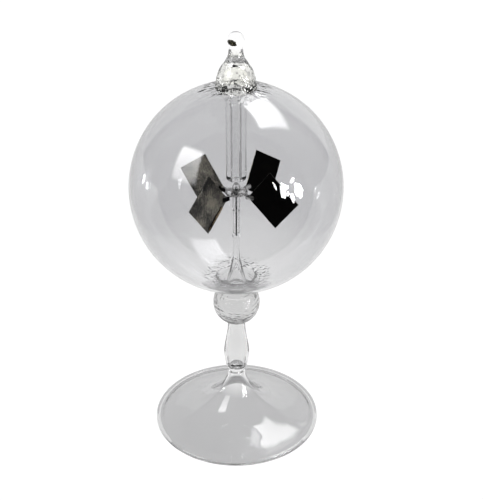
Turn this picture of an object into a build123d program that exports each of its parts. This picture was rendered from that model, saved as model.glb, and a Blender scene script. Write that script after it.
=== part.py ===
from build123d import *
import os
from math import cos, radians, sin, sqrt

# Sizes in millimetres. The axis of the needle is Z, and the foot's rim stands on z = 0.

# Foot: a blown trumpet with a thin flared saucer
foot_diameter = 67.3
foot_height = 23.6
foot_wall = 1.2
foot_neck_diameter = 6.6
foot_flare_diameter = 22.0
foot_flare_height = 9.4
foot_rim_height = 2.0
foot_ground_width = 0.8
foot_hollow_height = 17.4

# Baluster stem between the foot and the knop
stem_length = 23.65
stem_belly_diameter = 10.1
stem_belly_height = 8.6
stem_foot_end_diameter = 6.6
stem_knop_end_diameter = 6.8
stem_wall = 1.3
stem_plug = 1.6

# Knop: a hollow ball with a neck that is sealed to the globe
knop_diameter = 18.4
knop_wall = 1.5
knop_neck_waist_diameter = 15.6
knop_neck_height = 10.85
knop_ledge_height = 4.6

# Globe
globe_diameter = 80.0
globe_wall = 1.0
globe_bottom_seal_diameter = 16.4
globe_bottom_opening_diameter = 13.8
globe_top_seal_diameter = 15.1

# Guard tube that hangs from the globe's top
guard_tube_diameter = 7.5
guard_tube_wall = 1.1
guard_tube_mouth_above_tip = 2.2
guard_tube_flange_diameter = 10.4
guard_tube_flange_height = 1.0

# Bell over the guard tube, drawn to a neck, and the melted-off tip
bell_height = 13.5
bell_wall = 2.1
bell_shoulder_diameter = 12.7
bell_shoulder_height = 5.9
bell_neck_diameter = 5.2
bell_hollow_height = 8.6
tip_height = 7.1
tip_bead_diameter = 6.2

# Inner post: a flare of glass drawn to a thin rod
post_skirt_thickness = 0.9
post_shoulder_diameter = 7.5
post_shoulder_height = 5.0
post_waist_diameter = 3.7
post_waist_height = 13.1
post_top_diameter = 2.3
post_wall = 0.9
post_hollow_height = 13.0

# Tube on the post that holds the needle
needle_tube_diameter = 2.55
needle_tube_wall = 0.4
needle_tube_length = 11.8
needle_tube_bead_diameter = 3.2
needle_socket_floor = 0.8
needle_socket_depth = 1.0

# Needle
needle_diameter = 0.6
needle_length = 21.6
needle_point_length = 3.2
needle_tip_radius = 0.05
needle_tip_above_globe_centre = 1.2

# Bearing cup: a glass thimble, closed at the top with a short nipple
cup_diameter = 3.05
cup_wall = 0.45
cup_skirt_length = 9.7
cup_crown_thickness = 0.9
cup_nipple_diameter = 1.1
cup_nipple_length = 1.9

# Hub: a stamped star with a collar, a ring and four folded clips
hub_collar_height = 2.2
hub_collar_wall = 0.3
hub_sheet = 0.3
hub_ring_diameter = 8.5
hub_ring_width = 0.7
hub_arm_width = 1.3
hub_below_tip = 3.1
clip_length = 2.9
clip_tail = 0.9
clip_height = 1.8
clip_sheet = 0.25

# Vanes: square leaves hung by one corner, blackened on one face
vane_side = 15.5
vane_sheet = 0.2
vane_coat = 0.1
vane_root_radius = 5.22
vane_root_below_tip = 3.83
vane_hem_width = 1.4
vane_hem_sheet = 0.2
vane_hem_end_gap = 1.2
vane_sets = [  # each leaf's azimuth, upward tilt and roll in degrees, set by hand
    (-33.5, 7.4, -0.6),
    (50.0, 11.9, -8.5),
    (143.7, 9.0, -1.9),
    (231.8, 7.8, 4.3),
]

# Clearances
seal_gap = 0.03
pivot_gap = 0.04
clip_gap = 0.03
press_gap = 0.03

# Heights that follow from the sizes
globe_radius = globe_diameter / 2
globe_inner_radius = globe_radius - globe_wall
knop_radius = knop_diameter / 2
stem_top_z = foot_height + stem_length
knop_centre_z = stem_top_z + sqrt(knop_radius**2 - (stem_knop_end_diameter / 2) ** 2)
globe_seal_z = knop_centre_z + knop_neck_height
globe_centre_z = globe_seal_z + sqrt(globe_radius**2 - (globe_bottom_seal_diameter / 2) ** 2)
crown_z = globe_centre_z + sqrt(globe_radius**2 - (globe_top_seal_diameter / 2) ** 2)
skirt_z = knop_centre_z + knop_ledge_height
tip_z = globe_centre_z + needle_tip_above_globe_centre
needle_foot_z = tip_z - needle_length
post_top_z = needle_foot_z - needle_socket_floor
vane_root_z = tip_z - vane_root_below_tip
hub_z = tip_z - hub_below_tip


def lathe(*edges):
    """Turns a closed half profile, drawn as (radius, height), about the axis."""
    profile = Plane.XZ * make_face(edges)
    return revolve(profile, Axis.Z)


def inset(curve, wall, stations):
    """Points that lie one wall inside a profile curve, at the given stations along it."""
    points = []
    for station in stations:
        along = curve % station
        points.append((curve @ station) + Vector(-along.Y, along.X) * wall)
    return points


def make_foot():
    radius = foot_diameter / 2
    neck = foot_neck_diameter / 2
    rim_out = radius - foot_rim_height / 2
    rim_in = rim_out - foot_ground_width
    lip = ThreePointArc(
        (rim_out, 0),
        (radius, foot_rim_height / 2),
        (rim_out, foot_rim_height),
    )
    flare = Spline(
        (rim_out, foot_rim_height),
        (foot_flare_diameter / 2, foot_flare_height),
        (neck, foot_height),
        tangents=((-1, 0.02), (-0.12, 1)),
    )
    skin = inset(flare, foot_wall, (0.12, 0.3, 0.45, 0.58, 0.7))
    hollow = Spline(
        (rim_in, 0),
        *skin,
        (0, foot_hollow_height),
        tangents=((-0.4, 0.5), (-1, 0)),
    )
    return lathe(
        Line((rim_in, 0), (rim_out, 0)),
        lip,
        flare,
        Line((neck, foot_height), (0, foot_height)),
        Line((0, foot_height), (0, foot_hollow_height)),
        hollow,
    )


def make_stem():
    low = stem_foot_end_diameter / 2
    high = stem_knop_end_diameter / 2
    belly = stem_belly_diameter / 2
    belly_z = foot_height + stem_belly_height
    swell = Spline(
        (low, foot_height),
        (belly, belly_z),
        (high, stem_top_z),
        tangents=((0.35, 1), (0.02, 1)),
    )
    bore = Spline(
        (0, foot_height + stem_plug),
        (belly - stem_wall, belly_z),
        (high - stem_wall, stem_top_z),
        tangents=((1, 0.25), (0, 1)),
    )
    return lathe(
        Line((0, foot_height), (low, foot_height)),
        swell,
        Line((high, stem_top_z), (high - stem_wall, stem_top_z)),
        bore,
        Line((0, foot_height + stem_plug), (0, foot_height)),
    )


def make_knop():
    bore_low = stem_knop_end_diameter / 2 - stem_wall
    seal = globe_bottom_seal_diameter / 2
    bore = globe_bottom_opening_diameter / 2
    waist = knop_neck_waist_diameter / 2
    cavity = knop_radius - knop_wall
    shoulder_z = knop_centre_z + sqrt(knop_radius**2 - seal**2)
    waist_z = (shoulder_z + globe_seal_z) / 2
    cavity_floor_z = knop_centre_z - sqrt(cavity**2 - bore_low**2)
    ledge = sqrt(cavity**2 - knop_ledge_height**2)
    ball = ThreePointArc(
        (stem_knop_end_diameter / 2, stem_top_z),
        (knop_radius, knop_centre_z),
        (seal, shoulder_z),
    )
    neck = Spline(
        (seal, shoulder_z),
        (waist, waist_z),
        (seal, globe_seal_z),
        tangents=(ball % 1, (0.5, 1)),
    )
    hollow = ThreePointArc(
        (ledge, skirt_z),
        (cavity, knop_centre_z),
        (bore_low, cavity_floor_z),
    )
    return lathe(
        ball,
        neck,
        Line((seal, globe_seal_z), (bore, globe_seal_z)),
        Line((bore, globe_seal_z), (bore, skirt_z)),
        Line((bore, skirt_z), (ledge, skirt_z)),
        hollow,
        Line((bore_low, cavity_floor_z), (bore_low, stem_top_z)),
        Line((bore_low, stem_top_z), (stem_knop_end_diameter / 2, stem_top_z)),
    )


def make_globe():
    bottom_seal = globe_bottom_seal_diameter / 2
    bottom_hole = globe_bottom_opening_diameter / 2
    top_seal = globe_top_seal_diameter / 2
    top_hole = guard_tube_diameter / 2 + seal_gap
    inner_low_z = globe_centre_z - sqrt(globe_inner_radius**2 - bottom_hole**2)
    inner_high_z = globe_centre_z + sqrt(globe_inner_radius**2 - top_hole**2)
    outside = ThreePointArc(
        (bottom_seal, globe_seal_z),
        (globe_radius, globe_centre_z),
        (top_seal, crown_z),
    )
    inside = ThreePointArc(
        (top_hole, inner_high_z),
        (globe_inner_radius, globe_centre_z),
        (bottom_hole, inner_low_z),
    )
    return lathe(
        outside,
        Line((top_seal, crown_z), (top_hole, crown_z)),
        Line((top_hole, crown_z), (top_hole, inner_high_z)),
        inside,
        Line((bottom_hole, inner_low_z), (bottom_hole, globe_seal_z)),
        Line((bottom_hole, globe_seal_z), (bottom_seal, globe_seal_z)),
    )


def make_guard_tube():
    outer = guard_tube_diameter / 2
    bore = outer - guard_tube_wall
    flange = guard_tube_flange_diameter / 2
    mouth_z = tip_z + guard_tube_mouth_above_tip
    top_z = crown_z + guard_tube_flange_height
    tube = lathe(Polyline(
        (bore, mouth_z),
        (outer, mouth_z),
        (outer, crown_z),
        (flange, crown_z),
        (flange, top_z),
        (bore, top_z),
        close=True,
    ))
    rims = tube.edges().filter_by(GeomType.CIRCLE).group_by(Axis.Z)
    return fillet(rims[0], guard_tube_wall * 0.4)


def make_bell():
    base = globe_top_seal_diameter / 2
    neck = bell_neck_diameter / 2
    neck_z = crown_z + bell_height
    shoulder_z = crown_z + bell_shoulder_height
    inner_base = base - bell_wall
    hollow_z = crown_z + bell_hollow_height
    outside = Spline(
        (base, crown_z),
        (bell_shoulder_diameter / 2, shoulder_z),
        (neck, neck_z),
        tangents=((-0.09, 1), (-0.1, 1)),
    )
    inside = Spline(
        (0, hollow_z),
        (bell_shoulder_diameter / 2 - bell_wall, shoulder_z - bell_wall / 2),
        (inner_base, crown_z),
        tangents=((1, 0), (0, -1)),
    )
    return lathe(
        Line((inner_base, crown_z), (base, crown_z)),
        outside,
        Line((neck, neck_z), (0, neck_z)),
        Line((0, neck_z), (0, hollow_z)),
        inside,
    )


def make_seal_tip():
    neck = bell_neck_diameter / 2
    bead = tip_bead_diameter / 2
    neck_z = crown_z + bell_height
    bead_z = neck_z + tip_height - bead
    side = Spline((neck, neck_z), (bead, bead_z), tangents=((0, 1), (0, 1)))
    crown = ThreePointArc(
        (bead, bead_z),
        (bead * cos(radians(45)), bead_z + bead * sin(radians(45))),
        (0, bead_z + bead),
    )
    return lathe(
        Line((0, neck_z), (neck, neck_z)),
        side,
        crown,
        Line((0, bead_z + bead), (0, neck_z)),
    )


def make_inner_post():
    skirt = globe_bottom_opening_diameter / 2 - seal_gap
    skirt_top_z = skirt_z + post_skirt_thickness
    shoulder = (post_shoulder_diameter / 2, skirt_z + post_shoulder_height)
    waist = (post_waist_diameter / 2, skirt_z + post_waist_height)
    top = (post_top_diameter / 2, post_top_z)
    mouth = skirt - 2 * post_wall
    hollow_z = skirt_z + post_hollow_height
    outside = Spline(
        (skirt, skirt_top_z),
        shoulder,
        waist,
        top,
        tangents=((-1, 0.15), (0, 1)),
    )
    hollow = Spline(
        (0, hollow_z),
        (shoulder[0] - post_wall, shoulder[1] - post_wall / 2),
        (mouth, skirt_z),
        tangents=((0.3, -1), (1, -0.6)),
    )
    return lathe(
        Line((mouth, skirt_z), (skirt, skirt_z)),
        Line((skirt, skirt_z), (skirt, skirt_top_z)),
        outside,
        Line(top, (0, post_top_z)),
        Line((0, post_top_z), (0, hollow_z)),
        hollow,
    )


def make_needle_tube():
    outer = needle_tube_diameter / 2
    bore = outer - needle_tube_wall
    bead = needle_tube_bead_diameter / 2
    socket = needle_diameter / 2 + press_gap
    foot = post_top_diameter / 2
    bead_top_z = needle_foot_z + needle_socket_depth
    top_z = post_top_z + needle_tube_length
    bulge = ThreePointArc(
        (foot, post_top_z),
        (bead, (post_top_z + bead_top_z) / 2),
        (outer, bead_top_z),
    )
    return lathe(
        Line((0, post_top_z), (foot, post_top_z)),
        bulge,
        Polyline(
            (outer, bead_top_z),
            (outer, top_z),
            (bore, top_z),
            (bore, bead_top_z),
            (socket, bead_top_z),
            (socket, needle_foot_z),
            (0, needle_foot_z),
            (0, post_top_z),
        ),
    )


def make_needle():
    shank = needle_diameter / 2
    point_z = tip_z - needle_point_length
    dome = needle_tip_radius * cos(radians(45))
    tip = ThreePointArc(
        (needle_tip_radius, tip_z - needle_tip_radius),
        (dome, tip_z - needle_tip_radius + dome),
        (0, tip_z),
    )
    return lathe(
        Polyline(
            (0, tip_z),
            (0, needle_foot_z),
            (shank, needle_foot_z),
            (shank, point_z),
            (needle_tip_radius, tip_z - needle_tip_radius),
        ),
        tip,
    )


def make_bearing_cup():
    outer = cup_diameter / 2
    bore = outer - cup_wall
    nipple = cup_nipple_diameter / 2
    apex_z = tip_z + pivot_gap
    dome_z = apex_z - bore
    rim_z = apex_z - cup_skirt_length
    crown_top_z = apex_z + cup_crown_thickness
    end_z = crown_top_z + cup_nipple_length
    crown = Spline(
        (outer, dome_z),
        (nipple, crown_top_z),
        tangents=((0, 1), (-0.5, 1)),
    )
    end = ThreePointArc(
        (nipple, end_z - nipple),
        (nipple * cos(radians(45)), end_z - nipple + nipple * sin(radians(45))),
        (0, end_z),
    )
    seat = ThreePointArc(
        (0, apex_z),
        (bore * cos(radians(45)), dome_z + bore * sin(radians(45))),
        (bore, dome_z),
    )
    return lathe(
        Line((bore, rim_z), (outer, rim_z)),
        Line((outer, rim_z), (outer, dome_z)),
        crown,
        Line((nipple, crown_top_z), (nipple, end_z - nipple)),
        end,
        Line((0, end_z), (0, apex_z)),
        seat,
        Line((bore, dome_z), (bore, rim_z)),
    )


def leaf_place(azimuth, tilt, roll):
    """The place of a leaf's inner corner, with X along its diagonal and Y to its bright side."""
    spoke = Pos(0, 0, vane_root_z) * Rot(0, 0, azimuth) * Pos(vane_root_radius, 0, 0)
    return spoke * Rot(0, -tilt, 0) * Rot(roll, 0, 0)


def leaf_sheet(thickness, offset):
    """A square sheet stood on its corner at the origin, with its middle plane at the offset."""
    half_diagonal = vane_side / sqrt(2)
    return Pos(half_diagonal, offset, 0) * Rot(0, 45, 0) * Box(vane_side, thickness, vane_side)


def make_clip():
    """A strap folded round a leaf's inner corner, with a slot for the leaf and its coat."""
    slot = vane_sheet + vane_coat + 2 * clip_gap
    strap = Box(clip_tail + clip_length, slot + 2 * clip_sheet, clip_height)
    strap = Pos((clip_length - clip_tail) / 2, -vane_coat / 2, 0) * strap
    strap = fillet(strap.edges().filter_by(Axis.Y).group_by(Axis.X)[-1], clip_height / 3)
    gap = Box(clip_length + clip_gap, slot, clip_height)
    return strap - Pos((clip_length - clip_gap) / 2, -vane_coat / 2, 0) * gap


def make_hub():
    bore = cup_diameter / 2 + press_gap
    collar = bore + hub_collar_wall
    ring = hub_ring_diameter / 2
    star = Pos(0, 0, hub_z) * Cylinder(ring, hub_sheet)
    star -= Pos(0, 0, hub_z) * Cylinder(ring - hub_ring_width, hub_sheet)
    arm_length = vane_root_radius - clip_tail / 2
    clip = make_clip()
    for azimuth, tilt, roll in vane_sets:
        arm = Pos(arm_length / 2, 0, hub_z) * Box(arm_length, hub_arm_width, hub_sheet)
        star += Rot(0, 0, azimuth) * arm
        star += leaf_place(azimuth, tilt, roll) * clip
    star += Pos(0, 0, hub_z) * Cylinder(collar, hub_collar_height)
    return star - Pos(0, 0, hub_z) * Cylinder(bore, 2 * hub_collar_height)


def make_vane_plate():
    """A leaf with a hem folded back on its bright side, along the lower inner edge."""
    hem_start = clip_length * sqrt(2)
    hem_length = vane_side - hem_start - vane_hem_end_gap
    hem = Box(hem_length, vane_hem_sheet, vane_hem_width)
    hem = Pos(hem_start + hem_length / 2, (vane_sheet + vane_hem_sheet) / 2, vane_hem_width / 2) * hem
    return leaf_sheet(vane_sheet, 0) + Rot(0, 45, 0) * hem


def make_vane_coat():
    return leaf_sheet(vane_coat, -(vane_sheet + vane_coat) / 2)


nodes = {
    "foot": make_foot(),
    "baluster_stem": make_stem(),
    "knop": make_knop(),
    "globe": make_globe(),
    "guard_tube": make_guard_tube(),
    "bell_finial": make_bell(),
    "seal_tip": make_seal_tip(),
    "inner_post": make_inner_post(),
    "needle_tube": make_needle_tube(),
    "needle": make_needle(),
    "bearing_cup": make_bearing_cup(),
    "hub_spider": make_hub(),
}
plate = make_vane_plate()
coat = make_vane_coat()
for number, vane_set in enumerate(vane_sets, start=1):
    nodes[f"vane_plate_{number}"] = leaf_place(*vane_set) * plate
    nodes[f"vane_coat_{number}"] = leaf_place(*vane_set) * coat

os.makedirs("parts", exist_ok=True)
for name, solid in nodes.items():
    export_step(solid, f"parts/{name}.step")
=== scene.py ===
from math import acos, asin, cos, degrees, pi, radians, sin

import bmesh
import bpy
from mathutils import Matrix, Vector, geometry, noise as field


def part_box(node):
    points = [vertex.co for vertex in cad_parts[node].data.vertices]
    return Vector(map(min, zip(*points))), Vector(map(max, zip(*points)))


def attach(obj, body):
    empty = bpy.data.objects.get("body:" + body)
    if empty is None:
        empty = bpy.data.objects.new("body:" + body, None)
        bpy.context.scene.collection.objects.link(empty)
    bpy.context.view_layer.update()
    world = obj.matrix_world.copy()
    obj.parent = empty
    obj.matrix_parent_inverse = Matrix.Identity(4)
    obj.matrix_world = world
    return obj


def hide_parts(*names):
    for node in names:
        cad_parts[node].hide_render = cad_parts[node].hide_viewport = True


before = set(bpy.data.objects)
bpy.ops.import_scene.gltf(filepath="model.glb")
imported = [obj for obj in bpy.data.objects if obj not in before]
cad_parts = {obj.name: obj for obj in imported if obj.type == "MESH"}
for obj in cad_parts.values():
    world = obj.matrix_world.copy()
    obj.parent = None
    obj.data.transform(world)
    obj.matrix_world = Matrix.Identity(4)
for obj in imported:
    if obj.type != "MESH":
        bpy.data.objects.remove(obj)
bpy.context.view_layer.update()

MM = 0.001  # lines and sizes below are in millimetres
AXIS = Vector((0, 0, 1))
ROUND_STEPS = 192
SECTORS = 16

# Heights of the seams between the pieces of glass, read from the frame
foot_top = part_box("foot")[1].z / MM
stem_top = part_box("baluster_stem")[1].z / MM
knop_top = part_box("knop")[1].z / MM
globe_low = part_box("globe")[0].z / MM
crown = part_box("globe")[1].z / MM
bell_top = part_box("bell_finial")[1].z / MM
tip_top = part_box("seal_tip")[1].z / MM
skirt_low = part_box("inner_post")[0].z / MM
post_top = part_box("inner_post")[1].z / MM
tube_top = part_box("needle_tube")[1].z / MM
guard_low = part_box("guard_tube")[0].z / MM
guard_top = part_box("guard_tube")[1].z / MM
needle_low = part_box("needle")[0].z / MM
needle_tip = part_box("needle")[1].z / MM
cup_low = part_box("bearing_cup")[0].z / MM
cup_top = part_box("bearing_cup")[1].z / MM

# Radii at which pieces of glass are melted together, and of the bores that go on from one to the next
FOOT_SEAM = 3.3
STEM_SEAM = 3.4
STEM_BORE = 2.7
NECK_SEAM = 8.2
SKIRT = 6.9  # the rim of the flared post, sealed in the knop's neck
SKIRT_LIP = 0.9  # the height of that rim
CROWN_SEAM = 7.55
GUARD_FLARE = 4.6
BELL_BORE = 5.4
TIP_SEAM = 2.6
POST_END = 1.15


# ---------------------------------------------------------------- camera

# The lens and the place were fitted to the outlines of the globe and the foot in the photo
camera_data = bpy.data.cameras.new("studio_camera")
camera_data.lens = 77.08
camera_data.sensor_width = 36
camera = bpy.data.objects.new("studio_camera", camera_data)
camera.location = (0.00198, -0.36048, 0.28008)
camera.rotation_euler = (radians(60.85), 0, 0)
bpy.context.scene.collection.objects.link(camera)
bpy.context.scene.camera = camera


# ---------------------------------------------------------------- profile lines

def bend(start, end, spacing=0.35):
    """Points of one smooth bend. Each end is (radius, height, heading in degrees from outwards).
    Where both headings fit one arc, the bend is that arc."""
    a, b = Vector(start[:2]), Vector(end[:2])
    chord = b - a
    handles = []
    for heading in (start[2], end[2]):
        way = Vector((cos(radians(heading)), sin(radians(heading))))
        lean = min(max(way.dot(chord) / chord.length, 0.0), 1.0)
        handles.append(way * chord.length * 2 / (3 * (1 + lean)))
    count = max(int(chord.length / spacing), 3) + 1
    flat = [Vector((p.x, p.y, 0)) for p in (a, a + handles[0], b - handles[1], b)]
    return [(p.x, p.y) for p in geometry.interpolate_bezier(*flat, count)]


def line(*stations, spacing=0.35):
    """Points of a smooth line through stations of (radius, height, heading)."""
    points = [stations[0][:2]]
    for start, end in zip(stations, stations[1:]):
        points += bend(start, end, spacing)[1:]
    return points


def inside(stations, walls):
    """Stations of a wall's inner face, in the other direction. Those of its outer face go upwards."""
    inner = []
    for (radius, height, heading), wall in zip(stations, walls):
        way = radians(heading + 90)
        inner.append((radius + wall * cos(way), height + wall * sin(way), heading + 180))
    return inner[::-1]


def ball_line(radius, centre, low, high, parts):
    """Stations of a ball's outline from one angle above its centre to another, in degrees."""
    angles = [low + (high - low) * n / parts for n in range(parts + 1)]
    return [
        (radius * cos(radians(a)), centre + radius * sin(radians(a)), a + (90 if high > low else -90))
        for a in angles
    ]


def opening_angle(ball, radius):
    """The angle above a ball's middle at which its outline has a given radius."""
    return degrees(acos(radius / ball))


def opening_height(ball, radius):
    """The height above a ball's middle at which its outline has a given radius."""
    return (ball**2 - radius**2) ** 0.5


def rim(start, end):
    """A fire-polished rim: a half round from one wall face to the other."""
    middle = (Vector(start[:2]) + Vector(end[:2])) / 2
    reach = (Vector(end[:2]) - Vector(start[:2])).length / 2
    way = radians(start[2])
    top = middle + Vector((cos(way), sin(way))) * reach
    swing = (Vector(start[:2]) - middle).angle_signed(top - middle)
    heading = start[2] + (90 if swing < 0 else -90)
    return line(start, (top.x, top.y, heading), end, spacing=reach / 5)


# ---------------------------------------------------------------- turned pieces

def turn(name, faces, seams=(), steps=ROUND_STEPS, melts=()):
    """Turns profile lines about the axis. The seam lines close the piece where it is melted to the next one,
    and their faces take its second material. A melt of (height, reach, depth, grain, source) leaves lumps
    where the flame has worked."""
    bm = bmesh.new()
    for index, lines in enumerate((faces, seams)):
        for points in lines:
            done = len(bm.faces)
            verts = [bm.verts.new((radius * MM, 0, height * MM)) for radius, height in points]
            edges = [bm.edges.new(pair) for pair in zip(verts, verts[1:])]
            bmesh.ops.spin(
                bm, geom=verts + edges, cent=(0, 0, 0), axis=AXIS, dvec=(0, 0, 0),
                angle=2 * pi / SECTORS, steps=steps // SECTORS, space=Matrix.Identity(4), use_merge=False,
            )
            bm.faces.ensure_lookup_table()
            for face in bm.faces[done:]:
                face.material_index = index
    share = 2 * pi / SECTORS
    while share < 1.9 * pi:  # the spun sector is doubled until it goes all round
        copy = bmesh.ops.duplicate(bm, geom=bm.verts[:] + bm.edges[:] + bm.faces[:])["geom"]
        turned = [part for part in copy if isinstance(part, bmesh.types.BMVert)]
        bmesh.ops.rotate(bm, verts=turned, cent=(0, 0, 0), matrix=Matrix.Rotation(share, 3, AXIS))
        share *= 2
    bmesh.ops.remove_doubles(bm, verts=bm.verts, dist=0.0003 * MM)
    bmesh.ops.recalc_face_normals(bm, faces=bm.faces)
    for melt in melts:
        leave_lumps(bm, *melt)
    for edge in bm.edges:
        kinds = {face.material_index for face in edge.link_faces}
        edge.smooth = len(kinds) == 1 and edge.calc_face_angle(0) < radians(40)
    for face in bm.faces:
        face.smooth = True
    return finished(name, bm)


def leave_lumps(bm, height, reach, depth, grain, source):
    """Moves the points near a height to or from a source on the axis, the same for two pieces that share a seam.
    A source of None is at each point's own height. Points by the axis stay, since they have no way out of it."""
    for vert in bm.verts:
        away = abs(vert.co.z / MM - height) / reach
        if away >= 1 or vert.co.xy.length < 0.3 * MM:
            continue
        way = vert.co - Vector((0, 0, vert.co.z if source is None else source * MM))
        swell = field.noise(vert.co / (grain * MM)) + 0.7 * field.noise(vert.co / (0.5 * grain * MM))
        vert.co += way.normalized() * swell * depth * MM * (1 - away**2) ** 2


def add_burn(piece, middle, reach, lean):
    """A small crumpled speck, burnt by the flame inside a piece of glass. It takes the piece's third material."""
    bm = bmesh.new()
    bm.from_mesh(piece.data)
    speck = bmesh.ops.create_icosphere(bm, subdivisions=5, radius=1)["verts"]
    for vert in speck:
        vert.co *= 1 + 0.35 * field.noise(vert.co * 2.1)
    place = Matrix.Translation(middle) @ Matrix.Rotation(radians(lean), 4, "Y") @ Matrix.Diagonal((*reach, 1))
    bmesh.ops.transform(bm, matrix=Matrix.Scale(MM, 4) @ place, verts=speck)
    for face in {face for vert in speck for face in vert.link_faces}:
        face.smooth = True
        face.material_index = 2
    bm.to_mesh(piece.data)
    bm.free()


def finished(name, bm):
    """Turns a mesh under construction into an object in the scene."""
    mesh = bpy.data.meshes.new(name)
    bm.to_mesh(mesh)
    bm.free()
    piece = bpy.data.objects.new(name, mesh)
    bpy.context.scene.collection.objects.link(piece)
    return piece


def stand_in(piece, node, body, slot, *materials):
    """The piece takes the place of a CAD node and rides on its body."""
    for material in materials:
        piece.data.materials.append(material)
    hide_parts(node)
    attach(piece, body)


# ---------------------------------------------------------------- materials

def new_material(name):
    material = bpy.data.materials.new(name)
    material.use_nodes = True
    tree = material.node_tree
    return material, tree.nodes, tree.links, tree.nodes["Principled BSDF"]


def feed(links, socket, value):
    """Sets a socket to a number, or links an output to it."""
    if isinstance(value, (int, float)):
        socket.default_value = value
    else:
        links.new(value, socket)


def calculate(nodes, links, operation, *values):
    """One step of arithmetic on numbers or outputs."""
    step = nodes.new("ShaderNodeMath")
    step.operation = operation
    for socket, value in zip(step.inputs, values):
        feed(links, socket, value)
    return step.outputs[0]


def axes(nodes, links, space="Object"):
    """The X, Y and Z of a point, or in the world's Generated space those of a ray's way."""
    place = nodes.new("ShaderNodeTexCoord")
    split = nodes.new("ShaderNodeSeparateXYZ")
    links.new(place.outputs[space], split.inputs["Vector"])
    return split.outputs["X"], split.outputs["Y"], split.outputs["Z"]


def noise(nodes, links, scale, detail=2.0, stretch=(1, 1, 1)):
    """A noise pattern in the piece's own coordinates. A stretch above 1 makes it finer along that axis."""
    place = nodes.new("ShaderNodeTexCoord")
    sized = nodes.new("ShaderNodeMapping")
    sized.inputs["Scale"].default_value = stretch
    pattern = nodes.new("ShaderNodeTexNoise")
    pattern.inputs["Scale"].default_value = scale
    pattern.inputs["Detail"].default_value = detail
    links.new(place.outputs["Object"], sized.inputs["Vector"])
    links.new(sized.outputs["Vector"], pattern.inputs["Vector"])
    return pattern


def ramp(nodes, links, source, *stops):
    """A colour that follows a value through stops of (value, colour)."""
    colours = nodes.new("ShaderNodeValToRGB")
    while len(colours.color_ramp.elements) < len(stops):
        colours.color_ramp.elements.new(0.5)
    for element, (position, colour) in zip(colours.color_ramp.elements, stops):
        element.position = position
        element.color = (*colour, 1)
    links.new(source, colours.inputs["Fac"])
    return colours


def add_bump(nodes, links, shader, height, strength, distance):
    bump = nodes.new("ShaderNodeBump")
    bump.inputs["Strength"].default_value = strength
    bump.inputs["Distance"].default_value = distance
    links.new(height, bump.inputs["Height"])
    links.new(bump.outputs["Normal"], shader.inputs["Normal"])


def blown_glass(name, tint, ripple_scale, ripple_depth, stretch=(1, 1, 1), index=1.5):
    """Clear glass with the faint ripple that blowing leaves. Lamp rays pass it as through a clear pane."""
    material, nodes, links, glass = new_material(name)
    glass.inputs["Base Color"].default_value = (*tint, 1)
    glass.inputs["Roughness"].default_value = 0.0
    glass.inputs["IOR"].default_value = index
    glass.inputs["Transmission Weight"].default_value = 1.0
    ripple = noise(nodes, links, ripple_scale, 1.0, stretch)
    add_bump(nodes, links, glass, ripple.outputs["Fac"], 1.0, ripple_depth)
    clear = nodes.new("ShaderNodeBsdfTransparent")
    clear.inputs["Color"].default_value = (0.93, 0.93, 0.93, 1)
    path = nodes.new("ShaderNodeLightPath")
    mix = nodes.new("ShaderNodeMixShader")
    links.new(path.outputs["Is Shadow Ray"], mix.inputs["Fac"])
    links.new(glass.outputs["BSDF"], mix.inputs[1])
    links.new(clear.outputs["BSDF"], mix.inputs[2])
    links.new(mix.outputs["Shader"], nodes["Material Output"].inputs["Surface"])
    return material


def paint_light_by_height(material, low, low_tint, high, high_tint):
    """Lets the tint of a glass change with height, as painted light that makes one part of the glass show lighter."""
    nodes, links = material.node_tree.nodes, material.node_tree.links
    height = nodes.new("ShaderNodeMapRange")
    height.inputs["From Min"].default_value = low
    height.inputs["From Max"].default_value = high
    links.new(axes(nodes, links)[2], height.inputs["Value"])
    tint = ramp(nodes, links, height.outputs["Result"], (0.0, low_tint), (1.0, high_tint))
    links.new(tint.outputs["Color"], nodes["Principled BSDF"].inputs["Base Color"])


def melted_seam():
    """The inner face where two pieces of glass are melted into one: nothing shows there."""
    material, _, _, face = new_material("melted_seam")
    face.inputs["Base Color"].default_value = (1, 1, 1, 1)
    face.inputs["Alpha"].default_value = 0.0
    return material


def rolled_leaf(name, dark, middle, light):
    """Thin rolled leaf, tarnished in soft clouds and specks, with fine rolling lines and scratches."""
    material, nodes, links, metal = new_material(name)
    cloud = noise(nodes, links, 130, 4.0)
    speck = noise(nodes, links, 1100, 6.0)
    scratch = noise(nodes, links, 700, 4.0, (6, 1, 0.6))
    fine = calculate(nodes, links, "ADD", speck.outputs["Fac"], scratch.outputs["Fac"])
    fine_share = 0.45  # of the specks, and the same of the scratches, to 1 of the clouds
    blend = calculate(nodes, links, "MULTIPLY_ADD", fine, fine_share, cloud.outputs["Fac"])
    blend = calculate(nodes, links, "DIVIDE", blend, 1 + 2 * fine_share)
    tone = ramp(nodes, links, blend, (0.41, dark), (0.5, middle), (0.60, light))
    links.new(tone.outputs["Color"], metal.inputs["Base Color"])
    metal.inputs["Metallic"].default_value = 1.0
    rolling = noise(nodes, links, 600, 3.0, (1, 1, 9))
    rough = ramp(nodes, links, rolling.outputs["Fac"], (0.3, (0.26,) * 3), (0.7, (0.42,) * 3))
    links.new(rough.outputs["Color"], metal.inputs["Roughness"])
    add_bump(nodes, links, metal, scratch.outputs["Fac"], 0.35, 0.00008)
    return material


def lampblack_and_shade():
    """Dull soot with a fine grain. The same black is the painted shade on the hems' free edges and on the straps'
    folds.
    """
    material, nodes, links, soot = new_material("lampblack_and_shade")
    grain = noise(nodes, links, 2600, 5.0)
    tone = ramp(nodes, links, grain.outputs["Fac"], (0.3, (0.0004,) * 3), (0.75, (0.0018, 0.0017, 0.0015)))
    links.new(tone.outputs["Color"], soot.inputs["Base Color"])
    soot.inputs["Roughness"].default_value = 0.95
    soot.inputs["Specular IOR Level"].default_value = 0.0
    return material


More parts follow.
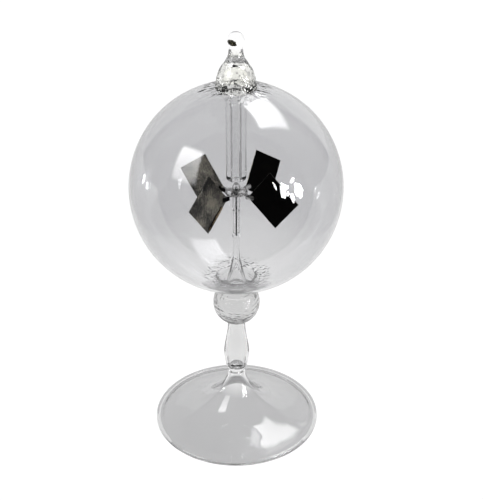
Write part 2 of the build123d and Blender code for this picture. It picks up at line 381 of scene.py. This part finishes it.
def worked_metal(name, dark, light, scale, rough):
    """Metal with blotches that are darker or lighter, and smoother or rougher."""
    material, nodes, links, metal = new_material(name)
    blotch = noise(nodes, links, scale, 5.0)
    tone = ramp(nodes, links, blotch.outputs["Fac"], (0.3, dark), (0.7, light))
    links.new(tone.outputs["Color"], metal.inputs["Base Color"])
    metal.inputs["Metallic"].default_value = 1.0
    wear = ramp(nodes, links, blotch.outputs["Fac"], (0.3, (rough * 0.8,) * 3), (0.7, (rough * 1.2,) * 3))
    links.new(wear.outputs["Color"], metal.inputs["Roughness"])
    return material


# The grey tints of the foot, stem, knop and globe glass are painted shade: they darken the clear glass to the grey of a
# dimmer backdrop seen through it.
FOOT_TINT = (0.50, 0.50, 0.505)
GLOBE_TINT = (0.76, 0.76, 0.77)
foot_glass = blown_glass("foot_glass", FOOT_TINT, 110, 0.00022, (1, 1, 0.4))
# painted light: the foot's glass grows lighter towards its neck
paint_light_by_height(foot_glass, 0.013, FOOT_TINT, 0.0215, (0.88, 0.88, 0.885))
stem_glass = blown_glass("stem_glass", (0.84, 0.84, 0.84), 120, 0.00005, index=1.33)
globe_glass = blown_glass("globe_glass", GLOBE_TINT, 30, 0.00004)
# painted light: the globe's glass grows lighter towards its bottom
paint_light_by_height(globe_glass, 0.084, GLOBE_TINT, 0.068, (0.96, 0.96, 0.96))
knop_glass = blown_glass("knop_glass", (0.78, 0.78, 0.78), 260, 0.00045, (1, 1, 4), 1.35)
post_glass = blown_glass("post_glass", (0.99, 0.99, 0.99), 220, 0.00010, index=1.28)
inner_glass = blown_glass("inner_glass", (0.99, 0.99, 0.99), 160, 0.00004, index=1.4)
top_glass = blown_glass("top_glass", (0.95, 0.95, 0.92), 420, 0.00035)
tip_glass = blown_glass("tip_glass", (0.99, 0.99, 0.99), 300, 0.00010, index=1.25)
burnt = worked_metal("burnt_glass", (0.004, 0.004, 0.003), (0.10, 0.09, 0.06), 1500, 0.6)
seam = melted_seam()
leaf_metal = rolled_leaf("rolled_leaf", (0.06, 0.058, 0.056), (0.17, 0.162, 0.142), (0.42, 0.39, 0.32))
hem_metal = rolled_leaf("singed_hem", (0.03, 0.02, 0.012), (0.36, 0.27, 0.17), (0.75, 0.62, 0.45))
soot_and_painted_shade = lampblack_and_shade()
star_metal = worked_metal("star_metal", (0.30, 0.30, 0.30), (0.80, 0.79, 0.78), 900, 0.28)
drawn_steel = worked_metal("drawn_steel", (0.12, 0.12, 0.125), (0.34, 0.34, 0.35), 1200, 0.25)


# ---------------------------------------------------------------- foot and stem

foot_flare = [
    (32.65, 2.0, 180), (24.74, 2.84, 168.5), (17.20, 5.33, 154.3),
    (10.60, 9.75, 137.9), (5.73, 16.0, 117), (3.75, 20.6, 107), (FOOT_SEAM, foot_top, 93),
]
foot_skin = [(0, 22.6, 0), (2.3, 21.6, -78)] + inside(foot_flare[1:6], (1.1, 1.0, 1.0, 1.0, 1.05))
foot_weld = (foot_top, 1.6, 0.10, 2.5, None)
foot = turn("blown_foot", [
    line(*foot_skin, (29.6, 0.78, -9), (32.0, 0.0, -8), spacing=0.5)
    + line((32.0, 0.0, 0), (32.65, 0.0, 0), (33.65, 1.0, 90), (32.65, 2.0, 180), spacing=0.25)[1:]
    + line(*foot_flare, spacing=0.5)[1:],
], [[(FOOT_SEAM, foot_top), (0, foot_top)]], melts=[foot_weld])
stand_in(foot, "foot", "stand", "foot_glass", foot_glass, seam)

stem_swell = [
    (FOOT_SEAM, foot_top, 87), (3.95, 25.3, 62), (4.72, 28.25, 80), (5.03, 33.02, 93.1), (4.40, 37.76, 100),
    (3.64, 42.48, 96.8), (STEM_SEAM, stem_top, 89),
]
stem_bore = [
    (STEM_BORE, stem_top, 270), (2.85, 42.0, 276), (3.95, 33.4, 270), (3.6, 29.2, 262), (2.9, 25.9, 246),
    (0, 24.5, 180),
]
knop_weld = (stem_top, 1.6, 0.16, 1.6, None)
stem = turn("baluster", [line(*stem_swell), line(*stem_bore)], [
    [(0, foot_top), (FOOT_SEAM, foot_top)],
    [(STEM_SEAM, stem_top), (STEM_BORE, stem_top)],
], melts=[foot_weld, knop_weld])
stand_in(stem, "baluster_stem", "stand", "stem_glass", stem_glass, seam)


# ---------------------------------------------------------------- knop

KNOP_RADIUS = 9.2
KNOP_CAVITY = 7.9
GLOBE_RADIUS = 40.0
knop_centre = stem_top + opening_height(KNOP_RADIUS, STEM_SEAM)
shoulder = knop_centre + opening_height(KNOP_RADIUS, NECK_SEAM)
globe_centre = globe_low + opening_height(GLOBE_RADIUS, NECK_SEAM)
knop_ball = ball_line(
    KNOP_RADIUS, knop_centre, -opening_angle(KNOP_RADIUS, STEM_SEAM), opening_angle(KNOP_RADIUS, NECK_SEAM), 4,
)
knop_neck = [(NECK_SEAM, shoulder, 106), (7.8, (shoulder + knop_top) / 2, 90), (NECK_SEAM, knop_top, 64)]
ledge_angle = degrees(asin((skirt_low - knop_centre) / KNOP_CAVITY))
knop_hollow = ball_line(KNOP_CAVITY, knop_centre, ledge_angle, -46, 4)
ledge = knop_hollow[0][0]  # the radius at which the hollow meets the post's rim
weld = (knop_top + 0.4, 2.2, 0.32, 0.85, globe_centre)
skirt_weld = (skirt_low + 0.6, 2.6, 0.32, 0.9, None)
knop = turn("knop_ball", [
    line(*knop_ball) + line(*knop_neck)[1:],
    [(SKIRT, knop_top - 0.5 * n) for n in range(11)] + [(SKIRT, skirt_low + SKIRT_LIP)],
    line(*knop_hollow, (STEM_BORE, stem_top, 268)),
], [
    [(NECK_SEAM, knop_top), (SKIRT, knop_top)],
    [(SKIRT, skirt_low + SKIRT_LIP), (SKIRT, skirt_low), (ledge, skirt_low)],
    [(STEM_BORE, stem_top), (STEM_SEAM, stem_top)],
], melts=[weld, skirt_weld, knop_weld])
stand_in(knop, "knop", "stand", "stem_glass", knop_glass, seam)


# ---------------------------------------------------------------- globe and guard tube

GLOBE_BORE = 39.0
GLOBE_THROAT = 8.6  # where the inner face leaves the ball and turns down into the knop
guard_seam = globe_centre + opening_height(GLOBE_BORE, GUARD_FLARE)
globe_out = ball_line(
    GLOBE_RADIUS, globe_centre, -opening_angle(GLOBE_RADIUS, NECK_SEAM), opening_angle(GLOBE_RADIUS, CROWN_SEAM), 12,
)
globe_in = ball_line(
    GLOBE_BORE, globe_centre, opening_angle(GLOBE_BORE, GUARD_FLARE), -opening_angle(GLOBE_BORE, GLOBE_THROAT), 12,
)
top_weld = (crown, 2.2, 0.30, 1.6, globe_centre)
globe = turn("blown_globe", [  # its points lie closer together near the lumpy lower seal
    line(*globe_out[:2], spacing=0.22)
    + line(*globe_out[1:], spacing=0.75)[1:],
    line(*globe_in[:-1], spacing=0.75)
    + line(*globe_in[-2:], spacing=0.22)[1:]
    + line(globe_in[-1], (SKIRT, globe_low, 270), spacing=0.15)[1:],
], [
    [(SKIRT, globe_low), (NECK_SEAM, globe_low)],
    [(CROWN_SEAM, crown), (GUARD_FLARE, crown), (GUARD_FLARE, guard_seam)],
], steps=208, melts=[weld, top_weld])
stand_in(globe, "globe", "stand", "globe_glass", globe_glass, seam)

TUBE_OUT = 3.75
TUBE_BORE = 1.4
TUBE_FUNNEL = 3.1  # the bore's radius at its top
mouth = guard_low + 0.9  # where the tube's straight part begins
guard = turn("guard_tube_glass", [
    line((TUBE_FUNNEL, guard_top, 240), (TUBE_BORE, crown - 1.5, -90), (TUBE_BORE, mouth, -90), spacing=0.8)
    + line((TUBE_BORE, mouth, -90), (2.0, guard_low, -20), (2.9, guard_low, 10), (TUBE_OUT, mouth, 90), spacing=0.2)[1:]
    + line((TUBE_OUT, mouth, 90), (TUBE_OUT, crown - 3.2, 90), (GUARD_FLARE, guard_seam, 40), spacing=0.8)[1:],
    line((BELL_BORE, crown, 110), (4.3, guard_top, 160), (TUBE_FUNNEL, guard_top, 215), spacing=0.15),
], [
    [(GUARD_FLARE, guard_seam), (GUARD_FLARE, crown), (BELL_BORE, crown)],
], steps=96, melts=[top_weld])
stand_in(guard, "guard_tube", "stand", "inner_glass", inner_glass, seam)


# ---------------------------------------------------------------- bell and melted tip

bell_swell = [
    (CROWN_SEAM, crown, 95), (7.0, crown + 3.2, 99), (6.35, crown + 5.9, 110),
    (5.0, crown + 8.3, 126), (3.5, crown + 10.6, 118), (TIP_SEAM, bell_top, 95.7),
]
bell_hollow = [
    (0, crown + 8.6, 0), (2.2, crown + 8.0, -30), (4.2, crown + 5.4, -66), (BELL_BORE, crown, -84),
]
bell_rings = [
    (crown + 1.6, 1.5, 0.30, 0.75, None), (crown + 3.6, 1.2, 0.22, 0.7, None), (crown + 9.0, 3.0, 0.16, 1.6, None),
]
bell = turn("thick_bell", [line(*bell_swell, spacing=0.25), line(*bell_hollow, spacing=0.25)], [
    [(BELL_BORE, crown), (CROWN_SEAM, crown)],
    [(TIP_SEAM, bell_top), (0, bell_top)],
], melts=[top_weld, *bell_rings])
stand_in(bell, "bell_finial", "stand", "top_glass", top_glass, seam)

BEAD = 3.1  # the radius of the round end
tip = turn("melted_tip", [line(
    (TIP_SEAM, bell_top, 91), (2.45, bell_top + 1.6, 86), (BEAD, tip_top - BEAD, 90),
    (2.19, tip_top - 0.91, 135), (0, tip_top, 180), spacing=0.2,
)], [[(0, bell_top), (TIP_SEAM, bell_top)]], steps=96)
add_burn(tip, Vector((-1.1, -0.4, tip_top - 3.9)), Vector((1.35, 0.8, 0.8)), 30)
stand_in(tip, "seal_tip", "stand", "top_glass", tip_glass, seam, burnt)


# ---------------------------------------------------------------- inner post and needle tube

post_out = [
    (SKIRT, skirt_low + SKIRT_LIP, 176), (4.79, skirt_low + 2.15, 124.8), (3.75, skirt_low + 5.0, 103.9),
    (2.71, skirt_low + 9.34, 103.3), (1.85, skirt_low + 13.1, 103), (1.29, skirt_low + 16.7, 94.2),
    (POST_END, post_top, 90),
]
post_in = [
    (0, skirt_low + 13.0, -60), (0.91, skirt_low + 10.33, -70), (1.88, skirt_low + 7.67, -70.6),
    (2.73, skirt_low + 4.98, -74.6), (3.6, skirt_low + 1.9, -62), (ledge, skirt_low, -35),
]
post = turn("flared_post", [line(*post_out, spacing=0.3), line(*post_in, spacing=0.3)], [
    [(ledge, skirt_low), (SKIRT, skirt_low), (SKIRT, skirt_low + SKIRT_LIP)],
    [(POST_END, post_top), (0, post_top)],
], steps=128, melts=[skirt_weld])
stand_in(post, "inner_post", "stand", "inner_glass", post_glass, seam)

SLEEVE_OUT, SLEEVE_BORE, SLEEVE_SOCKET = 1.275, 0.875, 0.33
brim = tube_top - 0.25
sleeve = turn("needle_sleeve", [
    line((POST_END, post_top, 30), (1.6, post_top + 0.9, 90), (SLEEVE_OUT, post_top + 1.8, 100), spacing=0.12)
    + line((SLEEVE_OUT, post_top + 1.8, 90), (SLEEVE_OUT, brim, 90), spacing=1.2)[1:]
    + rim((SLEEVE_OUT, brim, 90), (SLEEVE_BORE, brim, -90))[1:]
    + line((SLEEVE_BORE, brim, -90), (SLEEVE_BORE, needle_low + 1.3, -90), (SLEEVE_SOCKET, needle_low + 0.95, 200),
           spacing=0.6)[1:]
    + [(SLEEVE_SOCKET, needle_low), (0, needle_low)],
], [[(0, post_top), (POST_END, post_top)]], steps=64)
stand_in(sleeve, "needle_tube", "stand", "inner_glass", post_glass, seam)


# ---------------------------------------------------------------- rotor

CUP_OUT, CUP_BORE, NIPPLE = 1.525, 1.075, 0.55
apex = needle_tip + 0.04
cup_rim = cup_low + 0.23
cup = turn("bearing_thimble", [
    line((0, apex, 0), (CUP_BORE, apex - CUP_BORE, -90), spacing=0.12)
    + line((CUP_BORE, apex - CUP_BORE, -90), (CUP_BORE, cup_rim, -90), spacing=1.2)[1:]
    + rim((CUP_BORE, cup_rim, -90), (CUP_OUT, cup_rim, 90))[1:]
    + line((CUP_OUT, cup_rim, 90), (CUP_OUT, apex - 1.0, 90), (0.75, apex + 0.55, 128),
           (NIPPLE, apex + 1.1, 90), (NIPPLE, cup_top - NIPPLE, 90), (0.39, cup_top - 0.16, 135), (0, cup_top, 180),
           spacing=0.2)[1:],
], steps=64)
stand_in(cup, "bearing_cup", "rotor", "inner_glass", inner_glass)

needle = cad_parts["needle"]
needle.data.materials.clear()
needle.data.materials.append(drawn_steel)


# ---------------------------------------------------------------- vanes

LEAF_SIDE = 15.5
LEAF_SHEET = 0.2
COAT_SHEET = 0.1
DIAGONAL = 2**-0.5  # the part of a way along an edge that goes along the leaf's diagonal
ROOT_RADIUS = 5.22
ROOT_BELOW_TIP = 3.83
HEM_START, HEM_END, HEM_WIDTH, HEM_SHEET = 4.1, 14.3, 1.4, 0.2
LEAF_SETS = [  # azimuth, tilt and roll in degrees
    (-33.5, 7.4, -0.6), (50.0, 11.9, -8.5), (143.7, 9.0, -1.9), (231.8, 7.8, 4.3),
]


def leaf_place(azimuth, tilt, roll):
    """The place of a leaf's inner corner, with X along its diagonal and Y to its bright side."""
    return (
        Matrix.Translation((0, 0, needle_tip - ROOT_BELOW_TIP))
        @ Matrix.Rotation(radians(azimuth), 4, "Z") @ Matrix.Translation((ROOT_RADIUS, 0, 0))
        @ Matrix.Rotation(radians(-tilt), 4, "Y") @ Matrix.Rotation(radians(roll), 4, "X")
    )


def on_edge(width, low, high, cuts_long, cuts_wide, outer, inner):
    """A strip of sheet along the leaf's lower inner edge, from one distance along it to another. Its faces are
    at the distances outer and inner from the leaf's middle plane."""
    bm = bmesh.new()
    bmesh.ops.create_grid(bm, x_segments=cuts_long, y_segments=cuts_wide, size=0.5)
    bmesh.ops.translate(bm, vec=(0.5, -0.5, 0), verts=bm.verts)
    bmesh.ops.scale(bm, vec=(high - low, width, 1), verts=bm.verts)
    bmesh.ops.translate(bm, vec=(low, 0, 0), verts=bm.verts)
    bmesh.ops.rotate(bm, verts=bm.verts, matrix=Matrix.Rotation(radians(-90), 3, "X"))
    bmesh.ops.translate(bm, vec=(0, outer, 0), verts=bm.verts)
    grown = bmesh.ops.extrude_face_region(bm, geom=bm.faces[:], use_keep_orig=True)["geom"]
    back = [part for part in grown if isinstance(part, bmesh.types.BMVert)]
    bmesh.ops.translate(bm, vec=(0, inner - outer, 0), verts=back)
    bmesh.ops.recalc_face_normals(bm, faces=bm.faces)
    bmesh.ops.rotate(bm, verts=bm.verts, matrix=Matrix.Rotation(radians(45), 3, "Y"))
    return bm


def warp(bm, number, place, ragged=0.0):
    """Gives a sheet the leaf's own slight buckle, and a ragged border where asked, then puts it in its place."""
    own = Vector((17.0 * number, 0, 0))  # far from the other leaves' part of the noise
    middle = Vector((LEAF_SIDE / 2**0.5, 0, 0))
    for vert in bm.verts:
        flat = Vector((vert.co.x, 0, vert.co.z))
        if ragged and abs(flat.x - middle.x) + abs(flat.z) > 0.985 * middle.x:  # the points by the border
            pull = ragged * (0.5 + 0.5 * field.noise(flat / 0.8 + own))
            vert.co += (middle - flat).normalized() * pull
        away = min((flat.length / 6) ** 2, 1)  # the clipped corner stays flat
        vert.co.y += 0.16 * away * field.noise(flat / 7 + own) + 0.05 * away * field.noise(flat / 2.2 + own)
    bmesh.ops.transform(bm, matrix=Matrix.Scale(MM, 4) @ place, verts=bm.verts)


def round_edges(bm, reach):
    sharp = [edge for edge in bm.edges if edge.calc_face_angle(0) > radians(60)]
    bmesh.ops.bevel(
        bm, geom=sharp, offset=reach, offset_type="OFFSET", segments=2, profile=0.5, affect="EDGES",
        clamp_overlap=True, material=-1,
    )
    for face in bm.faces:
        face.smooth = True


def from_edge(point):
    """How far a point is along the leaf's lower inner edge, and how far up from it."""
    return (point.x - point.z) * DIAGONAL, (point.x + point.z) * DIAGONAL


def make_hem(number, place):
    """The folded strip at the leaf's edge, in the leaf's second material, and at its free edge in the third, black, as
    a painted shadow line.
    """
    hem = on_edge(HEM_WIDTH, HEM_START, HEM_END, 30, 4, LEAF_SHEET / 2 + HEM_SHEET, LEAF_SHEET / 2)
    round_edges(hem, 0.07)
    for face in hem.faces:  # painted shadow: the free edge takes the third material, black, where the hem's shade falls
        _, up = from_edge(face.calc_center_median())
        face.material_index = 2 if up > HEM_WIDTH * 0.72 else 1
    for vert in hem.verts:  # the free edge was cut by hand
        along, up = from_edge(vert.co)
        if up > HEM_WIDTH * 0.6:
            drop = 0.35 * field.noise(Vector((along / 1.3, number * 5.0, 0)))
            vert.co += Vector((drop, 0, drop)) * DIAGONAL
    warp(hem, number, place)
    return hem


def make_leaf(number, azimuth, tilt, roll):
    """A bright leaf with its folded hem, and the soot on its other face."""
    place = leaf_place(azimuth, tilt, roll)
    leaf = on_edge(LEAF_SIDE, 0, LEAF_SIDE, 28, 28, LEAF_SHEET / 2, -LEAF_SHEET / 2)
    round_edges(leaf, 0.04)
    warp(leaf, number, place)
    hem = make_hem(number, place)
    mesh = bpy.data.meshes.new("hem")
    hem.to_mesh(mesh)
    hem.free()
    leaf.from_mesh(mesh)
    bpy.data.meshes.remove(mesh)
    bright = finished(f"bright_leaf_{number}", leaf)
    bright.data.set_sharp_from_angle(angle=radians(50))
    stand_in(bright, f"vane_plate_{number}", "rotor", "vane_bright", leaf_metal, hem_metal, soot_and_painted_shade)
    coat = on_edge(LEAF_SIDE, 0, LEAF_SIDE, 60, 60, -LEAF_SHEET / 2, -LEAF_SHEET / 2 - COAT_SHEET)
    round_edges(coat, 0.03)
    warp(coat, number, place, ragged=0.12)
    soot = finished(f"soot_{number}", coat)
    soot.data.set_sharp_from_angle(angle=radians(50))
    stand_in(soot, f"vane_coat_{number}", "rotor", "vane_soot", soot_and_painted_shade)


def stamped_hub():
    """The hub's solid with its stamped edges broken, so that they catch the light.
    The straps take the second material, soot black, where they fold over the leaves' bright side: painted shade on the
    folds."""
    bm = bmesh.new()
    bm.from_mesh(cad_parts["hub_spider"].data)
    bmesh.ops.remove_doubles(bm, verts=bm.verts, dist=0.001 * MM)
    bmesh.ops.dissolve_limit(bm, angle_limit=radians(1), verts=bm.verts, edges=bm.edges)
    places = [leaf_place(*leaf_set).inverted() for leaf_set in LEAF_SETS]
    for face in bm.faces:
        face.smooth = True
        middle = face.calc_center_median() / MM
        for place in places:
            spot = place @ middle
            # the part of a strap that lies on the bright side, painted black as shade
            if spot.x > -0.7 and abs(spot.z) < 3 and LEAF_SHEET / 2 < spot.y < 1.2:
                face.material_index = 1
    hub = finished("stamped_hub", bm)
    edges = hub.modifiers.new("broken_edges", "BEVEL")
    edges.width = 0.05 * MM
    edges.segments = 2
    edges.limit_method = "ANGLE"
    edges.angle_limit = radians(35)
    edges.harden_normals = True
    return hub


for leaf_number, leaf_set in enumerate(LEAF_SETS, start=1):
    make_leaf(leaf_number, *leaf_set)
stand_in(stamped_hub(), "hub_spider", "rotor", "hub_metal", star_metal, soot_and_painted_shade)


# ---------------------------------------------------------------- studio

SHEET_LEFT, SHEET_RIGHT, SHEET_FRONT = -0.16, 0.15, -0.085
SIDE_SOFT, FRONT_SOFT = 0.01, 0.004  # half the width over which the sheet's borders fade
BACKDROP_TOP = 0.5  # the Z of a ray's way, which has a length of 1
SHEET_TONE = 0.8
DIM_TABLE = 0.58
DIM_ROOM = 0.015
WALL_LIFT = 0.6  # how far rays turned back inside one wall see white in place of the dim room
ROOM_LIGHT = 0.35  # the world's strength for rays from matt faces
FLOOR_LIT = 0.25  # how well lamps light the floor that is seen, so that it keeps the shadow
FLOOR_GLOW, FAR_GLOW = 0.80, 0.20  # the floor's own white, and what is added to it far away
PANE_DISTANCE = 0.8
BOUNCES = 32


def edge_of(nodes, links, value, low, high):
    """0 below the low value, 1 above the high one, and soft between them."""
    soft = nodes.new("ShaderNodeMapRange")
    soft.interpolation_type = "SMOOTHSTEP"
    soft.inputs["From Min"].default_value = low
    soft.inputs["From Max"].default_value = high
    links.new(value, soft.inputs["Value"])
    return soft.outputs["Result"]


def seen_rays(nodes, links, behind):
    """Two values. The first is 1 for the rays that see the background: those of the camera, of gloss and of glass.
    The second is 1 for the mirrored ones, and less where they were turned back inside one wall of glass and
    go on behind the object, so that they see more white."""
    path = nodes.new("ShaderNodeLightPath")
    seen = calculate(nodes, links, "MAXIMUM", path.outputs["Is Camera Ray"], path.outputs["Is Glossy Ray"])
    seen = calculate(nodes, links, "MAXIMUM", seen, path.outputs["Is Transmission Ray"])
    mirrored = calculate(nodes, links, "GREATER_THAN", path.outputs["Glossy Depth"], 0.5)
    through = path.outputs["Transmission Depth"]  # 1 to 3 for a ray turned back inside one wall
    entered = calculate(nodes, links, "GREATER_THAN", through, 0.5)
    one_wall = calculate(nodes, links, "MULTIPLY", entered, calculate(nodes, links, "LESS_THAN", through, 3.5))
    lift = calculate(nodes, links, "MULTIPLY", calculate(nodes, links, "MULTIPLY", one_wall, behind), WALL_LIFT)
    return seen, calculate(nodes, links, "SUBTRACT", mirrored, lift)


def white_unless_mirrored(nodes, links, mirrored, studio):
    """White for a ray that comes straight or through glass, and the studio's own tone in a reflection."""
    level = nodes.new("ShaderNodeMix")
    links.new(mirrored, level.inputs["Factor"])
    level.inputs["A"].default_value = 1.0
    links.new(studio, level.inputs["B"])
    return level.outputs["Result"]


def studio_floor():
    """A pale floor. A mirrored ray sees the white sheet under the object, and the dim table and room round it."""
    bm = bmesh.new()
    bmesh.ops.create_grid(bm, x_segments=1, y_segments=1, size=6)
    floor = finished("studio_floor", bm)
    material, nodes, links, matt = new_material("white_sheet")
    matt.inputs["Base Color"].default_value = (0.8, 0.8, 0.8, 1)
    matt.inputs["Roughness"].default_value = 1.0
    matt.inputs["Specular IOR Level"].default_value = 0.0
    x, y, _ = axes(nodes, links)
    left = edge_of(nodes, links, x, SHEET_LEFT - SIDE_SOFT, SHEET_LEFT + SIDE_SOFT)
    leftwards = calculate(nodes, links, "MULTIPLY", x, -1)
    right = edge_of(nodes, links, leftwards, -SHEET_RIGHT - SIDE_SOFT, -SHEET_RIGHT + SIDE_SOFT)
    front = edge_of(nodes, links, y, SHEET_FRONT - FRONT_SOFT, SHEET_FRONT + FRONT_SOFT)
    sheet = calculate(nodes, links, "MULTIPLY", calculate(nodes, links, "MULTIPLY", left, right), front)
    table = calculate(nodes, links, "MAXIMUM", calculate(nodes, links, "MULTIPLY", front, DIM_TABLE), DIM_ROOM)
    sheet = calculate(nodes, links, "MAXIMUM", calculate(nodes, links, "MULTIPLY", sheet, SHEET_TONE), table)
    seen, mirrored = seen_rays(nodes, links, edge_of(nodes, links, y, -0.03, 0.0))
    shown = white_unless_mirrored(nodes, links, mirrored, sheet)
    lit = nodes.new("ShaderNodeBsdfDiffuse")
    tone = nodes.new("ShaderNodeCombineColor")
    share = calculate(nodes, links, "MULTIPLY", shown, FLOOR_LIT)
    for channel in ("Red", "Green", "Blue"):
        links.new(share, tone.inputs[channel])
    links.new(tone.outputs["Color"], lit.inputs["Color"])
    glow = nodes.new("ShaderNodeEmission")
    reach = nodes.new("ShaderNodeVectorMath")
    reach.operation = "LENGTH"
    links.new(nodes.new("ShaderNodeTexCoord").outputs["Object"], reach.inputs[0])
    far = edge_of(nodes, links, reach.outputs["Value"], 0.25, 1.1)
    level = calculate(nodes, links, "MULTIPLY_ADD", far, FAR_GLOW, FLOOR_GLOW)
    links.new(calculate(nodes, links, "MULTIPLY", shown, level), glow.inputs["Strength"])
    both = nodes.new("ShaderNodeAddShader")
    links.new(lit.outputs["BSDF"], both.inputs[0])
    links.new(glow.outputs["Emission"], both.inputs[1])
    mix = nodes.new("ShaderNodeMixShader")
    links.new(seen, mix.inputs["Fac"])
    links.new(matt.outputs["BSDF"], mix.inputs[1])
    links.new(both.outputs["Shader"], mix.inputs[2])
    links.new(mix.outputs["Shader"], nodes["Material Output"].inputs["Surface"])
    floor.data.materials.append(material)


def studio_world():
    """A white backdrop behind the object. A mirrored ray sees it fade upwards and to the left, with the dim room
    above it, beside it and before it."""
    world = bpy.data.worlds.new("studio")
    world.use_nodes = True
    nodes, links = world.node_tree.nodes, world.node_tree.links
    bpy.context.scene.world = world
    x, y, z = axes(nodes, links, "Generated")
    down = calculate(nodes, links, "MULTIPLY", z, -1)
    low = edge_of(nodes, links, down, -BACKDROP_TOP - 0.03, -BACKDROP_TOP + 0.03)
    fading = edge_of(nodes, links, down, -0.95, -BACKDROP_TOP)
    low = calculate(nodes, links, "MAXIMUM", low, calculate(nodes, links, "MULTIPLY", fading, 0.55))
    side = edge_of(nodes, links, x, -0.9, 0.6)
    low = calculate(nodes, links, "MULTIPLY", low, calculate(nodes, links, "MULTIPLY_ADD", side, 0.4, 0.6))
    behind = edge_of(nodes, links, y, 0.62, 0.70)
    studio = calculate(nodes, links, "MAXIMUM", calculate(nodes, links, "MULTIPLY", low, behind), DIM_ROOM)
    seen, mirrored = seen_rays(nodes, links, edge_of(nodes, links, y, 0.1, 0.4))
    level = nodes.new("ShaderNodeMix")
    links.new(seen, level.inputs["Factor"])
    level.inputs["A"].default_value = ROOM_LIGHT
    links.new(white_unless_mirrored(nodes, links, mirrored, studio), level.inputs["B"])
    links.new(level.outputs["Result"], nodes["Background"].inputs["Strength"])
    nodes["Background"].inputs["Color"].default_value = (1, 1, 1, 1)


def sky_point(azimuth, elevation, distance):
    """A point seen from the globe's centre. Azimuth 0 is towards the camera, 90 to the right."""
    a, e = radians(azimuth), radians(elevation)
    way = Vector((cos(e) * sin(a), -cos(e) * cos(a), sin(e)))
    return Vector((0, 0, globe_centre * MM)) + way * distance


def shine(box, nodes, links, strength):
    """Makes a lamp's material an emission of a strength, and hides the lamp from the camera."""
    nodes.remove(nodes["Principled BSDF"])
    glow = nodes.new("ShaderNodeEmission")
    feed(links, glow.inputs["Strength"], strength)
    links.new(glow.outputs["Emission"], nodes["Material Output"].inputs["Surface"])
    box.visible_camera = False


def lit_panel(name, corners, low, high):
    """A soft box: a lit panel through four corners of (azimuth, elevation, distance). Its strength goes from
    low at the first two to high at the others, and fades at its border."""
    bm = bmesh.new()
    across, up = bm.verts.layers.float.new("across"), bm.verts.layers.float.new("up")
    for corner, place in zip(corners, ((0, 0), (1, 0), (1, 1), (0, 1))):
        vert = bm.verts.new(sky_point(*corner))
        vert[across], vert[up] = place
    bm.faces.new(bm.verts)
    bmesh.ops.subdivide_edges(bm, edges=bm.edges[:], cuts=15, use_grid_fill=True)
    box = finished(name, bm)
    material, nodes, links, _ = new_material(name)
    places = []
    for way in ("across", "up"):
        attribute = nodes.new("ShaderNodeAttribute")
        attribute.attribute_name = way
        places.append(attribute.outputs["Fac"])
    strength = calculate(nodes, links, "MULTIPLY_ADD", places[1], high - low, low)
    for place in places:
        for side in (place, calculate(nodes, links, "SUBTRACT", 1.0, place)):
            strength = calculate(nodes, links, "MULTIPLY", strength, edge_of(nodes, links, side, 0.0, 0.16))
    shine(box, nodes, links, strength)
    box.data.materials.append(material)


def window_panes(name, strength, panes):
    """The bright patches of a window behind a plant: lumpy ovals of (azimuth, elevation, half width, half height,
    lean), in degrees."""
    bm = bmesh.new()
    for azimuth, elevation, half_width, half_height, lean in panes:
        pane = bmesh.ops.create_circle(bm, cap_ends=True, segments=40, radius=1)["verts"]
        for vert in pane:
            vert.co *= 1 + 0.55 * field.noise(vert.co * 1.7 + Vector((azimuth, elevation, 0)))
        spot = sky_point(azimuth, elevation, PANE_DISTANCE)
        away = spot - Vector((0, 0, globe_centre * MM))
        wide, high = (PANE_DISTANCE * sin(radians(half)) for half in (half_width, half_height))
        place = (
            Matrix.Translation(spot) @ away.to_track_quat("Z", "Y").to_matrix().to_4x4()
            @ Matrix.Rotation(radians(lean), 4, "Z") @ Matrix.Diagonal((wide, high, 1, 1))
        )
        bmesh.ops.transform(bm, matrix=place, verts=pane)
    box = finished(name, bm)
    material, nodes, links, _ = new_material(name)
    shine(box, nodes, links, strength)
    box.data.materials.append(material)


studio_floor()
studio_world()
lit_panel("right_softbox", [(168, 32, 0.9), (110, 39, 0.9), (88, 70, 1.2), (172, 61, 1.2)], 4.5, 8.0)
lit_panel("left_softbox", [(-76, 13, 1.0), (-42, 18, 1.0), (-54, 54, 1.1), (-92, 42, 1.1)], 2.5, 8.0)
window_panes("window", 26.0, [
    (68.5, 7.6, 4.6, 7.5, 12), (50.2, 13, 3.2, 7.5, -10), (59.5, 4, 2.2, 4.6, 8), (43.2, 19.5, 1.0, 2.4, 20),
    (42.4, 23.5, 0.8, 1.8, 20), (64.5, 18.5, 3.2, 1.6, 25), (55.5, 16, 1.4, 3.0, 30), (55.0, 9, 1.6, 2.6, -30),
    (-104, -6, 1.0, 2.4, 10), (-112, -5, 1.3, 3.2, -6), (-109, -14, 0.9, 2.0, 12),
])

bpy.context.scene.view_settings.view_transform = "Standard"
bpy.context.scene.cycles.max_bounces = BOUNCES  # light passes many walls of glass
bpy.context.scene.cycles.transmission_bounces = BOUNCES
bpy.context.scene.cycles.transparent_max_bounces = BOUNCES
